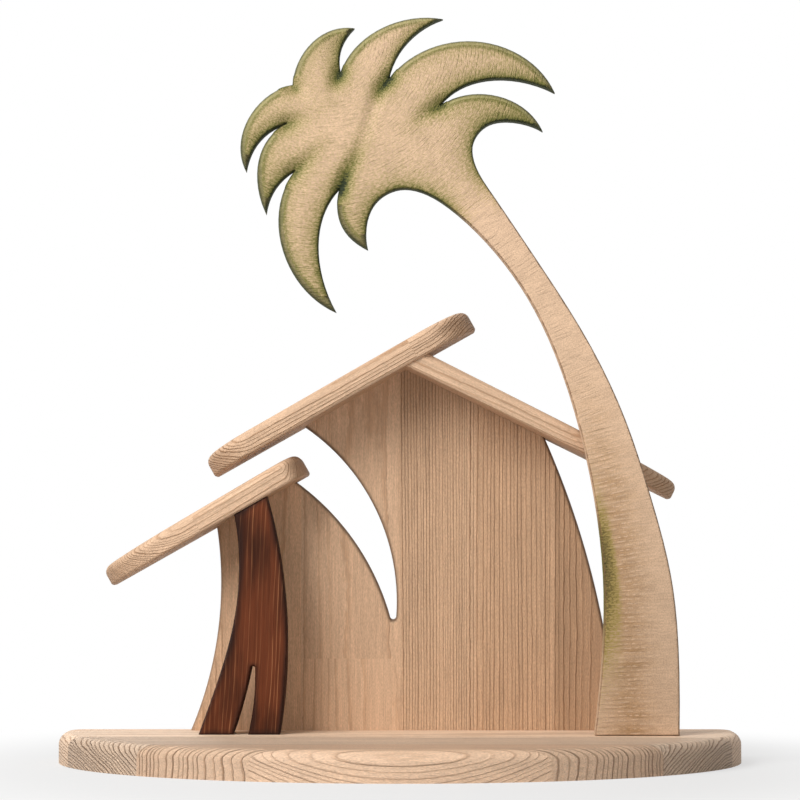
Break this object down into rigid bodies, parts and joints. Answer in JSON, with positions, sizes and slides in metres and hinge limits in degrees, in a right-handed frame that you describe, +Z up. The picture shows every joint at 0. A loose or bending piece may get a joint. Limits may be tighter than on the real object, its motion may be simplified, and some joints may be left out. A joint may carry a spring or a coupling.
{
  "type": "nativity stable",
  "caption": "Free-standing wooden stable backdrop: a gabled wall with overlapping sloped roof boards, a forked post and a carved leaning palm tree on a bowed base",
  "frame": {"origin": "middle of the base's underside, in the whole part's box", "axes": "+X right as seen from the front, +Y towards the back, +Z up"},
  "size_m": [0.417, 0.168, 0.453],
  "materials": {
    "base_spruce": "brushed, pale matt wax",
    "wall_spruce": "brushed, pale matt wax",
    "roof_spruce": "brushed, pale matt wax",
    "stained_post": "dark red-brown stain, matt",
    "palm_wood": "carved, airbrushed green stain on the leaves, matt",
    "screw_steel": "zinc plated",
    "dowel_beech": "plain beech"
  },
  "bodies": {
    "root": {"base_nose_stave": "base_spruce", "base_front_stave": "base_spruce", "base_middle_stave": "base_spruce", "base_rear_stave": "base_spruce", "base_back_strip": "base_spruce", "wall_left_edge_stave": "wall_spruce", "wall_left_stave": "wall_spruce", "wall_gap_stave": "wall_spruce", "wall_middle_stave": "wall_spruce", "wall_right_stave": "wall_spruce", "wall_right_edge_stave": "wall_spruce", "long_roof_board": "roof_spruce", "short_roof_board": "roof_spruce", "lean_to_board": "roof_spruce", "forked_post": "stained_post", "palm_tree": "palm_wood", "wall_screws": "screw_steel", "post_screws": "screw_steel", "palm_screws": "screw_steel", "long_roof_dowels": "dowel_beech", "short_roof_dowels": "dowel_beech", "lean_to_dowels": "dowel_beech", "post_dowel": "dowel_beech"}
  },
  "joints": []
}
